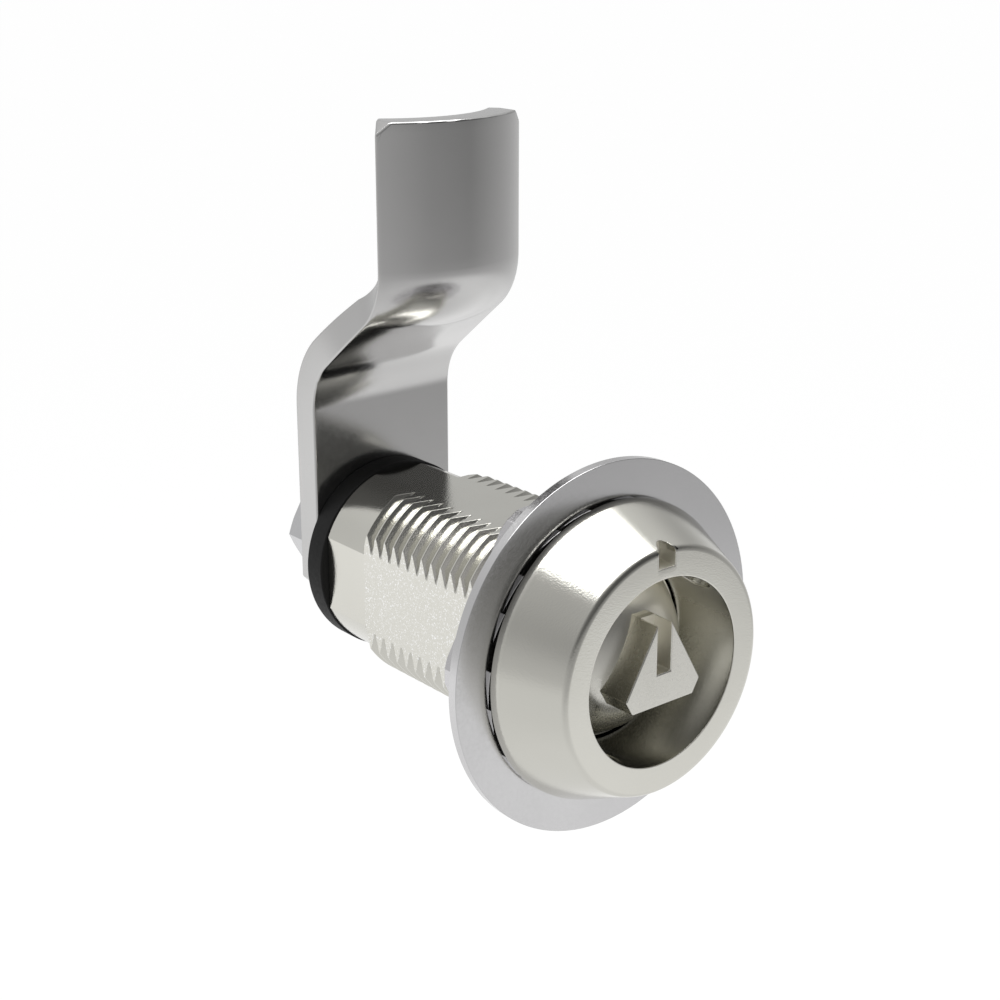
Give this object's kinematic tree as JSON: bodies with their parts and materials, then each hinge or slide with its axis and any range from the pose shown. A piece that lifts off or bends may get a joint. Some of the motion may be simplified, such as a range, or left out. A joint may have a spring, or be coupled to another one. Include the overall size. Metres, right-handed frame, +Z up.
{
  "type": "quarter-turn fastener",
  "caption": "Cam lock for a panel: coned head with a triangular drive in a round recess, flatted threaded neck, clamping nut and a cranked cam that turns a quarter turn.",
  "frame": {"origin": "on the lock axis, in the plane of the panel's outer face, which is the rear face of the serrated washer", "axes": "+Y along the lock axis into the cabinet, -Y out of the head's front, +Z up along the cam in the stored pose, +X to the right as seen from the front"},
  "size_m": [0.0364, 0.053, 0.0646],
  "materials": {
    "plated_casting": "satin nickel-plated zinc casting",
    "plated_spindle": "satin nickel-plated zinc casting",
    "zinc_plated_sheet": "smooth zinc-plated steel sheet",
    "zinc_plated_nut": "zinc-plated steel",
    "zinc_plated_cam": "smooth zinc-plated steel, half gloss",
    "bright_steel": "bright zinc-plated steel",
    "black_plastic": "matt black polyamide",
    "black_rubber": "matt black rubber"
  },
  "bodies": {
    "housing": {"housing": "plated_casting"},
    "washer": {"serrated_washer": "zinc_plated_sheet"},
    "nut": {"hex_nut": "zinc_plated_nut"},
    "rotor": {"spindle": "plated_spindle", "spindle_o_ring": "black_rubber", "stop_ring": "black_plastic", "cam": "zinc_plated_cam", "cam_washer": "bright_steel", "spring_lock_washer": "bright_steel", "cam_screw": "bright_steel"}
  },
  "joints": [
    {"name": "spindle_turn", "type": "hinge", "parent": "housing", "child": "rotor", "pos_m": [0, 0, 0], "axis": [0, 1, 0], "range_deg": [0, 90]},
    {"name": "washer_travel", "type": "slide", "parent": "housing", "child": "washer", "axis": [0, 1, 0], "range_m": [0, 0.02]},
    {"name": "nut_spin", "type": "hinge", "parent": "washer", "child": "nut", "pos_m": [0, 0, 0], "axis": [0, 1, 0], "range_deg": [0, 4788]}
  ],
  "couplings": [
    {"joint": "washer_travel", "follows": "nut_spin", "m_per_rad": 0.00023873}
  ]
}
